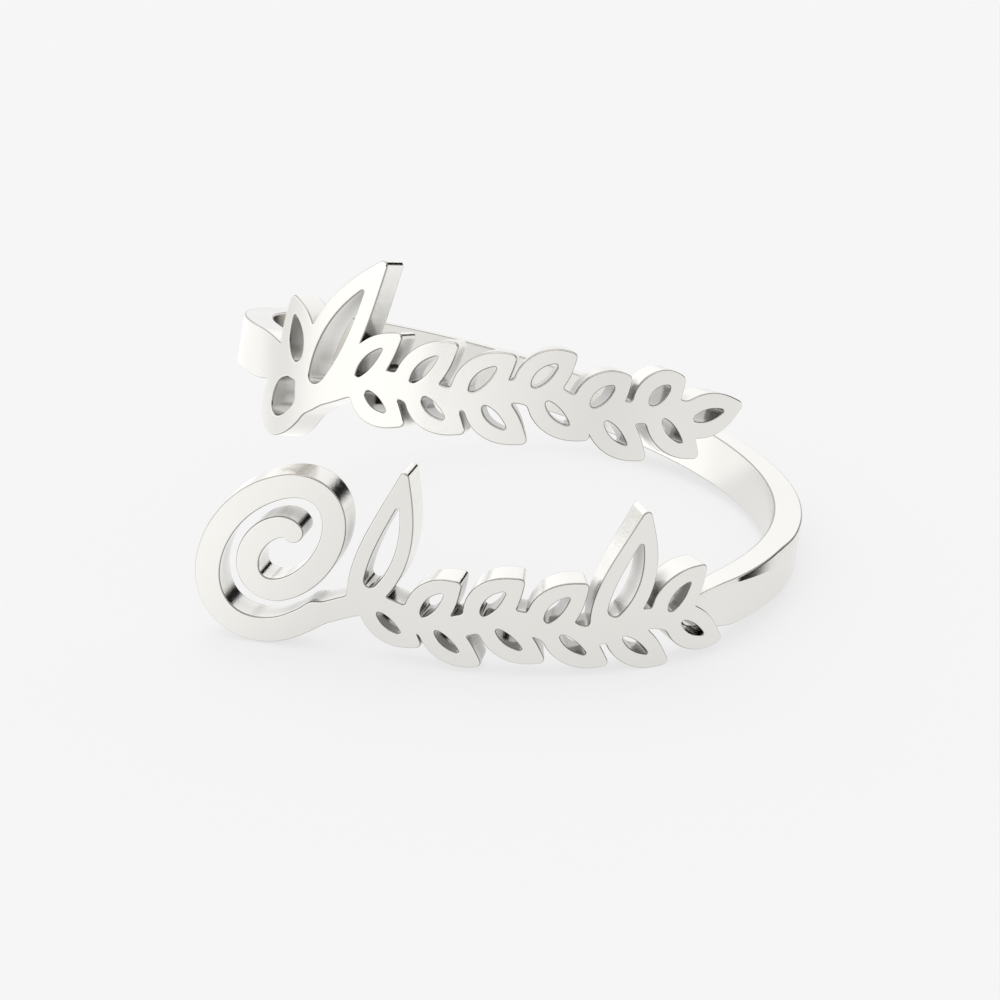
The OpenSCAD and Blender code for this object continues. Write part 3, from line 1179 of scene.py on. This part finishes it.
@dataclass
class BandAndUpperRow(Row):
    """The plain band with the upper row of leaves at its end, on one round sheet."""

    curl: Curl = Curl(
        centre=(1.76, 1.34), radii=(1.32, 0.95), start=30, sweep=-288, widths=(0.7, 0.62), slant=0.12)
    wave: Wave = Wave(middle=1.35, height=0.22, length=4.8, start=4.4)
    stem: Pair = (3.0, 16.2)
    pairs: tuple[float, ...] = (4.81, 6.78, 8.71, 10.61, 12.52, 14.41)

    # Length of the first leaf that grows up, and how much shorter each next one is
    UP_LENGTH = 2.1
    SHORTER = 0.12
    # Lowest and highest place on the sheet, and the room before and past its metal
    HEIGHTS = (-3.9, 8.2)
    ROOM = (1.5, 1.2)
    BAND_FILLET = 0.2
    # Angles by which the band's stroke stops short of its ends, which its own width then reaches
    STOPS_SHORT = (2.0, 1.0)
    # Places of both lines beside the crease, the distance between their points, and how far they
    # run past the facet
    CREASE_SIDES = (-0.025, 0.025)
    CREASE_STEP = 0.12
    CREASE_ROOM = 0.5
    # Distance in metres by which the bend starts before the sheet does, so that all of it is bent
    AHEAD = 1.0

    def leaves(self) -> list[Leaf]:
        """Grows the leaves at the joint and at the free end, and the pairs along the stem.

        Returns:
            The leaves.
        """
        ends = [
            Leaf(2.9, 0.9, length=5.0, angle=63, belly=0.85, bow=0.25, rim=0.66),
            Leaf(2.35, 2.02, length=2.55, angle=110, belly=0.61, bow=0, rim=0.56),
            Leaf(15.7, 1.25, length=2.2, angle=22, belly=0.48, bow=0, rim=self.sizes.rim_width),
        ]
        up = [self.leaf_up(at, self.UP_LENGTH - self.SHORTER * k) for k, at in enumerate(self.pairs)]
        return ends + up + self.leaves_down()

    def band(self) -> np.ndarray:
        """Draws the band.

        Returns:
            A stroke of [along, up, width] on the round sheet.
        """
        sizes = self.sizes
        first, last = self.STOPS_SHORT
        angles = np.arange(sizes.band_from + first, sizes.band_to - last, 1.0)
        along = np.array([sizes.along(a) for a in angles])
        middle = sizes.band_foot(angles) + sizes.band_width / 2
        lean = np.cos(np.arctan(np.gradient(middle, along)))
        share = np.array([sizes.band_share(a) for a in angles])
        return np.column_stack([along, middle, sizes.band_width * share * lean])

    def creases(self) -> list[np.ndarray]:
        """Draws two lines close to each other, on both sides of the facet's crease.

        Returns:
            The points of each line.
        """
        start, _, _, gone = (self.sizes.along(a) for a in self.sizes.facet_angles)
        along = np.arange(start, gone + self.CREASE_ROOM, self.CREASE_STEP)
        return [np.column_stack([along, self.sizes.facet_line(along) + side]) for side in self.CREASE_SIDES]

    def flat(self) -> FlatSheet:
        """Draws the whole sheet flat.

        Returns:
            The sheet.
        """
        sizes = self.sizes
        sheet = FlatSheet((sizes.along(sizes.band_from) - self.ROOM[0], self.HEIGHTS[0]),
                          (sizes.along(sizes.upper_to) + self.ROOM[1], self.HEIGHTS[1]),
                          origin=sizes.along(sizes.upper_from), foot=sizes.upper_foot)
        sheet.add(self.band(), self.BAND_FILLET, in_row=False)
        return self.draw(sheet)

    def build(self, wrap: WrapTree, finishes: dict[Surface, bpy.types.Material]) -> bpy.types.Mesh:
        """Builds the sheet and bends it round the finger.

        Args:
            wrap: The tree that bends it.
            finishes: The metal's finishes.

        Returns:
            The bent mesh.
        """
        sizes = self.sizes
        builder = SheetBuilder(self.flat(), sizes.metal, sizes.edge_radius, relief=sizes.band_relief,
                               creases=self.creases())
        return wrap.bend(builder.build("band_and_upper_row"), self.radii | {
            "Straight Length": -self.AHEAD,
            "Start Angle": -self.AHEAD / (sizes.middle_radius * MM),
            "Lean": (math.radians(-sizes.tilt_back), math.radians(sizes.tilt_right), 0.0),
            "Seat": tuple(sizes.centre),
        }, finishes)


@dataclass
class LowerRow(Row):
    """The lower row of leaves, which stands on its straight free end."""

    curl: Curl = Curl(
        centre=(3.25, 3.5), radii=(3.22, 0.66), start=-46, sweep=-606, widths=(0.9, 0.76), slant=0.36)
    wave: Wave = Wave(middle=1.44, height=0.26, length=4.6, start=5.2)
    stem: Pair = (4.4, 16.9)
    pairs: tuple[float, ...] = (6.1, 8.1, 10.1, 12.1, 14.1, 16.1)

    # Lengths of the tall leaves, by the number of the pair at which they grow
    TALL = {0: 5.0, 4: 4.3}
    TALL_AHEAD = -0.2
    # Length of the small leaves that grow up
    UP_LENGTH = 2.0
    # Lowest and highest corner of the sheet
    LOW = (-1.8, -0.8)
    HIGH = (19.6, 8.0)

    def leaves(self) -> list[Leaf]:
        """Grows two tall leaves, and small ones along the stem.

        Returns:
            The leaves.
        """
        tall = []
        for k, length in self.TALL.items():
            at = self.pairs[k]
            tall.append(Leaf(at + self.TALL_AHEAD, self.wave.at(at), length, angle=70, belly=0.62,
                             bow=-0.25, rim=0.55))
        up = [self.leaf_up(at, self.UP_LENGTH) for k, at in enumerate(self.pairs) if k not in self.TALL]
        return tall + up + self.leaves_down()

    def build(self, wrap: WrapTree, finishes: dict[Surface, bpy.types.Material]) -> bpy.types.Mesh:
        """Builds the sheet, bends it round the finger past its free end and stands it up.

        Args:
            wrap: The tree that bends it.
            finishes: The metal's finishes.

        Returns:
            The bent mesh.
        """
        sizes = self.sizes
        drawn = self.draw(FlatSheet(self.LOW, self.HIGH, foot=sizes.lower_foot))
        flat = SheetBuilder(drawn, sizes.metal, sizes.edge_radius).build("lower_row")
        lowest = min(vertex.co.y for vertex in flat.vertices)
        return wrap.bend(flat, self.radii | {
            "Straight Length": sizes.flat_length * MM,
            "Start Angle": math.radians(sizes.bend_at),
            "Axis Place": (sizes.lower_centre[0] * MM, sizes.lower_centre[1] * MM, 0.0),
            "Lean": (0.0, 0.0, 0.0),
            "Seat": (sizes.centre.x, sizes.centre.y, -lowest),
        }, finishes)


def fused(parts: Sequence[bpy.types.Mesh], name: str) -> bpy.types.Object:
    """Joins bent sheets into one piece with the shading that their rounded edges call for.

    Args:
        parts: The bent meshes, which share their materials.
        name: Name of the piece.

    Returns:
        The piece, linked to the scene.
    """
    body = bmesh.new()
    for part in parts:
        body.from_mesh(part)
    mesh = bpy.data.meshes.new(name)
    body.to_mesh(mesh)
    body.free()
    for material in parts[0].materials:
        mesh.materials.append(material)
    shade = np.empty(len(mesh.vertices) * 3, dtype=np.float32)
    mesh.attributes[BENT_NORMAL].data.foreach_get("vector", shade)
    mesh.polygons.foreach_set("use_smooth", np.ones(len(mesh.polygons), dtype=bool))
    mesh.normals_split_custom_set_from_vertices(shade.reshape(-1, 3).tolist())
    for spare in (FLAT_NORMAL, BENT_NORMAL, SURFACE):
        mesh.attributes.remove(mesh.attributes[spare])
    for part in parts:
        bpy.data.meshes.remove(part)
    piece = bpy.data.objects.new(name, mesh)
    bpy.context.scene.collection.objects.link(piece)
    return piece


class Shader(Nodes):
    """A new material, with short ways to add to its nodes."""

    def __init__(self, name: str) -> None:
        """Makes the material.

        Args:
            name: Its name.
        """
        self.material = bpy.data.materials.new(name)
        self.material.use_nodes = True
        super().__init__(self.material.node_tree)

    def set(self, values: dict[str, object]) -> None:
        """Feeds the inputs of the material's surface by their labels."""
        self.fill(self.tree.nodes["Principled BSDF"], values)

    def place(self) -> Slot:
        """Gives the place on the object, in metres."""
        return self.add("ShaderNodeTexCoord")["Object"]

    def relief(self, height: Slot, strength: float, distance: float, under: Slot | None = None) -> Slot:
        """Makes a relief, which may lie on top of another one.

        Args:
            height: Its height.
            strength: Its strength.
            distance: Its depth in metres where the height is 1.
            under: Directions in which the surface under it faces, or None for the plain surface.

        Returns:
            The directions in which the surface then faces.
        """
        return self.fill(self.tree.nodes.new("ShaderNodeBump"), {
            "Strength": strength, "Distance": distance, "Height": height, "Normal": under})["Normal"]


class PolishMarks(Nodes):
    """The group for fine polishing scratches and slow clouds, which all finishes use.

    Scratches and Clouds are their numbers per mm, Height is the scratches' height and Haze the
    strength of the clouds.
    """

    INPUTS = {"Scratches": 3.0, "Clouds": 0.25}
    OUTPUTS = ("Height", "Haze")
    # The turn of each set of scratches in radians, and how narrow its lines are
    SETS = ((0.6, 9.0), (-0.9, 7.0), (2.1, 12.0))
    # Scale of the pattern along the lines
    STRETCH = 0.5
    # Turn of all scratches round X, and the share of its turn that a set also has round Z
    TIPPED = 0.3
    TWIST = 0.7

    def __init__(self) -> None:
        """Builds the group."""
        super().__init__(bpy.data.node_groups.new("polish marks", "ShaderNodeTree"))
        face = self.tree.interface
        for label, value in self.INPUTS.items():
            face.new_socket(label, in_out="INPUT", socket_type="NodeSocketFloat").default_value = value
        for label in self.OUTPUTS:
            face.new_socket(label, in_out="OUTPUT", socket_type="NodeSocketFloat")
        given = self.add("NodeGroupInput")
        per_mm = self.scaled(self.add("ShaderNodeTexCoord")["Object"], 1 / MM)
        first, second, third = (self._lines(per_mm, given["Scratches"], *marks) for marks in self.SETS)
        height = self.math("MINIMUM", self.math("MINIMUM", first, second), third)
        haze = self.noise(per_mm, given["Clouds"], detail=2.0, roughness=0.5)
        self.add("NodeGroupOutput", height, haze)

    def _lines(self, place: Slot, scale: Slot, turn: float, narrow: float) -> Slot:
        """Makes one set of scratches.

        Args:
            place: The place in mm.
            scale: The number of scratches per mm.
            turn: The turn of their lines in radians.
            narrow: How narrow the lines are.

        Returns:
            Their height.
        """
        turns, scales = (self.TIPPED, turn, turn * self.TWIST), (narrow, self.STRETCH, narrow)
        turned = self.add("ShaderNodeMapping", place, None, turns, scales)[0]
        return self.noise(turned, scale, detail=3.0, roughness=0.65)


@dataclass(frozen=True)
class SilverFinish:
    """Polished silver: its colours, its gloss, how deep its marks are, and how far painted shade darkens it
    in narrow openings.

    Attributes:
        name: Name of the material.
        bright: Colour of the clean metal; in the edge finish it is darker, a painted dark outline.
        warm: Colour of the metal where the polish is a little duller.
        gloss: Lowest and highest roughness.
        scratches: Scratches per mm.
        scratch_depth: Strength of the scratches' relief.
        file_marks: Strength of the marks that run across a wall, or 0.
        recess_shade: Share of its colour that the metal keeps deep in a narrow opening; the loss is painted
            shade.
    """

    name: str
    bright: Triple
    warm: Triple
    gloss: Pair
    scratches: float
    scratch_depth: float
    file_marks: float = 0.0
    recess_shade: float = 1.0

    # Range of the clouds over which the gloss changes
    HAZE = (0.3, 0.7)
    # Depths of both reliefs where their heights are 1
    SCRATCH_HEIGHT = 0.01 * MM
    FILE_HEIGHT = 0.012 * MM
    # File marks per mm along a wall and down it
    FILE_SCALE = (38.0, 1.2, 1.0)
    # How far off other metal counts as close, and the range of free room over which the painted shade
    # darkens the colour
    SHADE_REACH = 1.4 * MM
    SHADE_RANGE = (0.25, 0.8)

    def build(self, marks: PolishMarks) -> bpy.types.Material:
        """Builds the material.

        Args:
            marks: The group for polishing marks.

        Returns:
            The material.
        """
        shader = Shader(self.name)
        height, haze = shader.add("ShaderNodeGroup", self.scratches, node_tree=marks.tree)
        bright, warm = (*self.bright, 1), (*self.warm, 1)
        colour = shader.add("ShaderNodeMix", haze, bright, warm, data_type="RGBA")["Result"]
        # Painted shade: the colour darkens where other metal stands close, deep in narrow openings.
        if self.recess_shade < 1:
            colour = shader.scaled(colour, self._painted_opening_shade(shader))
        relief = shader.relief(height, self.scratch_depth, self.SCRATCH_HEIGHT)
        if self.file_marks > 0:
            relief = shader.relief(self._filed(shader), self.file_marks, self.FILE_HEIGHT, relief)
        shader.set({"Metallic": 1.0, "Base Color": colour, "Normal": relief,
                    "Roughness": shader.ranged(haze, self.HAZE, self.gloss)})
        return shader.material

    def _painted_opening_shade(self, shader: Shader) -> Slot:
        """Painted shade: share of its colour that the metal keeps where other metal stands close in front.
        """
        room = shader.add("ShaderNodeAmbientOcclusion", None, self.SHADE_REACH)["AO"]
        return shader.ranged(room, self.SHADE_RANGE, (self.recess_shade, 1.0), soft=True)

    def _filed(self, shader: Shader) -> Slot:
        """Makes the fine marks that run across a wall.

        Args:
            shader: The material.

        Returns:
            Their height.
        """
        bench = shader.add("ShaderNodeUVMap", uv_map=BENCH)["UV"]
        stretched = shader.add("ShaderNodeMapping", bench, None, None, self.FILE_SCALE)[0]
        return shader.noise(stretched, 1.0, detail=4.0, roughness=0.7)


FINISHES = {
    Surface.FACE: SilverFinish(
        "polished silver", bright=(0.85, 0.837, 0.805), warm=(0.82, 0.80, 0.765), gloss=(0.07, 0.14),
        scratches=3.0, scratch_depth=0.25),
    # The wall finish's colour darkens in narrow openings, which is painted shade.
    Surface.WALL: SilverFinish(
        "filed silver", bright=(0.92, 0.912, 0.885), warm=(0.87, 0.855, 0.825), gloss=(0.06, 0.12),
        scratches=3.0, scratch_depth=0.35, file_marks=0.16, recess_shade=0.45),
    # The edge finish's dark colour is a painted dark outline, standing in for the shade and dark reflections
    # along the rounded edges.
    Surface.EDGE: SilverFinish(
        "edge silver with painted dark outline", bright=(0.46, 0.435, 0.40), warm=(0.37, 0.345, 0.315), gloss=(0.16, 0.28),
        scratches=3.0, scratch_depth=0.2),
}
WHITE = (1.0, 1.0, 1.0, 1.0)
BLACK = (0.0, 0.0, 0.0, 1.0)


def rectangle(name: str, low: Pair, high: Pair, shader: Shader) -> bpy.types.Object:
    """Makes a flat rectangle for the studio.

    Args:
        name: Its name.
        low: Its lowest corner, in metres.
        high: Its highest corner.
        shader: Its material.

    Returns:
        The rectangle, linked to the scene.
    """
    (left, front), (right, back) = low, high
    corners = [(left, front, 0), (right, front, 0), (right, back, 0), (left, back, 0)]
    mesh = bpy.data.meshes.new(name)
    mesh.from_pydata(corners, [], [(0, 1, 2, 3)])
    mesh.materials.append(shader.material)
    flat = bpy.data.objects.new(name, mesh)
    bpy.context.scene.collection.objects.link(flat)
    return flat


def only_reflected(card: bpy.types.Object) -> None:
    """Lets a card show only in the metal's reflections.

    Args:
        card: The card.
    """
    card.visible_camera = False
    card.visible_diffuse = False
    card.visible_shadow = False


@dataclass(frozen=True)
class DarkFlag:
    """A dark card that stands upright, faces the ring and shows only in its reflections.

    Attributes:
        name: Name of the card.
        place: Its middle, in metres.
        width: Its width.
        height: Its height.
        fade: Share of its height over which it grows pale toward its lower edge.
    """

    name: str
    place: Triple
    width: float
    height: float
    fade: float = 0.0

    # Tone of the card, and of its lower edge where it grows pale
    DARK = 0.012
    PALE = 0.8

    def build(self) -> None:
        """Stands the card up."""
        across, up = self.width / 2, self.height / 2
        shader = Shader(self.name)
        tone = (self.DARK, self.DARK, self.DARK, 1)
        if self.fade > 0:
            own_height = shader.parts(shader.place())["Y"]
            tone = shader.ranged(own_height, (-up, self.height * self.fade - up), (self.PALE, self.DARK))
        shader.set({"Base Color": tone, "Roughness": 1.0, "Specular IOR Level": 0.0})
        card = rectangle(self.name, (-across, -up), (across, up), shader)
        card.location = self.place
        toward = Vector((0, 0, self.place[2])) - Vector(self.place)
        card.rotation_euler = toward.to_track_quat("Z", "Y").to_euler()
        only_reflected(card)


@dataclass(frozen=True)
class BrightSheet:
    """A bright sheet that lies on the table and shows only in the ring's reflections.

    Attributes:
        name: Name of the sheet.
        edge: Middle of the edge where it is clear as glass, in metres.
        turn: Direction in degrees in which it lies from that edge.
        size: Its width and its length.
        fade: Distance from that edge over which it grows opaque.
        glow: Its brightness.
    """

    name: str
    edge: Pair
    turn: float
    size: float
    fade: float
    glow: float

    # Height over the table
    LIFT = 0.02 * MM

    def build(self) -> None:
        """Lays the sheet down."""
        shader = Shader(self.name)
        share = shader.ranged(shader.parts(shader.place())["X"], (0.0, self.fade), (0.0, 1.0))
        shader.set({"Base Color": BLACK, "Specular IOR Level": 0.0, "Emission Color": WHITE,
                    "Emission Strength": self.glow, "Alpha": share})
        sheet = rectangle(self.name, (0, -self.size / 2), (self.size, self.size / 2), shader)
        sheet.location = (*self.edge, self.LIFT)
        sheet.rotation_euler = (0, 0, math.radians(self.turn))
        only_reflected(sheet)


@dataclass
class Studio:
    """The pale floor, the soft light, the cards and the camera.

    Attributes:
        aim: Point that the camera looks at, in metres.
        elevation: Camera's height above the floor as an angle, in degrees.
        distance: Camera's distance from that point, in metres.
        scale: Size of 1 mm there in pixels of the square picture.
        picture: Width of that picture in pixels.
        seen_at: Where the point stands in the picture, in pixels.
        table_glow: Brightness of the light table under the paper.
        paper: Share of light that the paper throws back.
        sky_left: Brightness of the room at the far left.
        sky_right: Brightness of the room at the far right.
        sky_dim: How much less bright the room is in front.
        lamp_place: Place of the softbox, in metres.
        lamp_size: Its width.
        lamp_power: Its power in watts.
        cards: The cards that show in the metal.
    """

    aim: Vector
    elevation: float = 23.8
    distance: float = 0.14706
    scale: float = 28.912
    picture: float = 1000.0
    seen_at: Pair = (513.84, 476.46)
    table_glow: float = 0.70
    paper: float = 0.19
    sky_left: float = 1.24
    sky_right: float = 0.9
    sky_dim: float = 0.13
    lamp_place: Triple = (-0.06, 0.16, 0.5)
    lamp_size: float = 0.3
    lamp_power: float = 0.36
    cards: tuple[DarkFlag | BrightSheet, ...] = (
        DarkFlag("dark flag", place=(0.207, 0.14, 0.0605), width=0.25, height=0.115, fade=0.17),
        DarkFlag("flag over the camera", place=(0.0, -0.52, 0.31), width=0.9, height=0.26),
        BrightSheet("bright sheet", edge=(-0.0065, -0.0080), turn=153.4, size=0.06, fade=0.0055, glow=1.11),
    )

    # Width of the camera's sensor in mm, and the nearest place that it sees in metres
    SENSOR = 36.0
    NEAREST = 0.005
    HALF_FLOOR = 1.5
    # Range from left to right over which the room's light changes
    SIDES = (-0.9, 0.9)
    # The way to the middle of the weaker light in front, and how near to it the light is weaker
    FRONT = (0.1, -0.98, 0.15)
    FRONT_RANGE = (0.5, 1.0)

    def camera(self) -> None:
        """Places the camera at the photograph's angle."""
        lens = bpy.data.cameras.new("camera")
        lens.sensor_width = self.SENSOR
        lens.lens = self.scale * self.distance / MM * self.SENSOR / self.picture
        lens.shift_x = (self.picture / 2 - self.seen_at[0]) / self.picture
        lens.shift_y = (self.seen_at[1] - self.picture / 2) / self.picture
        lens.clip_start = self.NEAREST
        turn = math.radians(self.elevation)
        camera = bpy.data.objects.new("camera", lens)
        camera.location = self.aim + Vector((0, -math.cos(turn), math.sin(turn))) * self.distance
        camera.rotation_euler = (math.radians(90) - turn, 0, 0)
        bpy.context.scene.collection.objects.link(camera)
        bpy.context.scene.camera = camera

    def floor(self) -> None:
        """Lays the pale floor, a sheet of paper on a light table."""
        half, tone = self.HALF_FLOOR, (self.paper, self.paper, self.paper, 1)
        shader = Shader("pale paper")
        shader.set({"Base Color": tone, "Roughness": 0.9, "Specular IOR Level": 0.0,
                    "Emission Color": WHITE, "Emission Strength": self.table_glow})
        floor = rectangle("floor", (-half, -half), (half, half), shader)

    def softbox(self) -> None:
        """Hangs the softbox, which looks at the ring."""
        lamp = bpy.data.lights.new("overhead softbox", "AREA")
        lamp.size = self.lamp_size
        lamp.energy = self.lamp_power
        holder = bpy.data.objects.new("overhead softbox", lamp)
        holder.location = self.lamp_place
        holder.rotation_euler = (self.aim - Vector(self.lamp_place)).to_track_quat("-Z", "Y").to_euler()
        bpy.context.scene.collection.objects.link(holder)

    def sky(self) -> None:
        """Fills the room with soft light, a little stronger from the left and weaker in front."""
        world = bpy.data.worlds.new("studio")
        world.use_nodes = True
        nodes = Nodes(world.node_tree)
        way = nodes.add("ShaderNodeTexCoord")["Generated"]
        across = nodes.ranged(nodes.parts(way)["X"], self.SIDES, (self.sky_left, self.sky_right))
        toward = nodes.add("ShaderNodeVectorMath", way, self.FRONT, operation="DOT_PRODUCT")["Value"]
        dimmed = nodes.ranged(toward, self.FRONT_RANGE, (0.0, self.sky_dim), soft=True)
        strength = nodes.math("SUBTRACT", across, dimmed)
        nodes.fill(nodes.tree.nodes["Background"], {"Color": WHITE, "Strength": strength})
        bpy.context.scene.world = world

    def build(self) -> None:
        """Sets up the whole studio."""
        bpy.context.scene.view_settings.view_transform = "Standard"
        self.sky()
        self.floor()
        self.softbox()
        for card in self.cards:
            card.build()
        self.camera()


def main() -> None:
    """Builds the ring, its finishes and the studio."""
    logging.basicConfig(level=logging.INFO, format="%(message)s")
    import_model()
    sizes = RingSizes()
    marks = PolishMarks()
    finishes = {surface: finish.build(marks) for surface, finish in FINISHES.items()}
    wrap = WrapTree()
    parts = []
    for assembly in (BandAndUpperRow(sizes), LowerRow(sizes)):
        part = assembly.build(wrap, finishes)
        LOG.info("%s: %d faces", part.name, len(part.polygons))
        parts.append(part)
    ring = fused(parts, "silver_ring")
    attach(ring, "root")
    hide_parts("ring")
    LOG.info("%s: %d faces in all", ring.name, len(ring.data.polygons))
    Studio(sizes.centre).build()


if __name__ == "__main__":
    main()
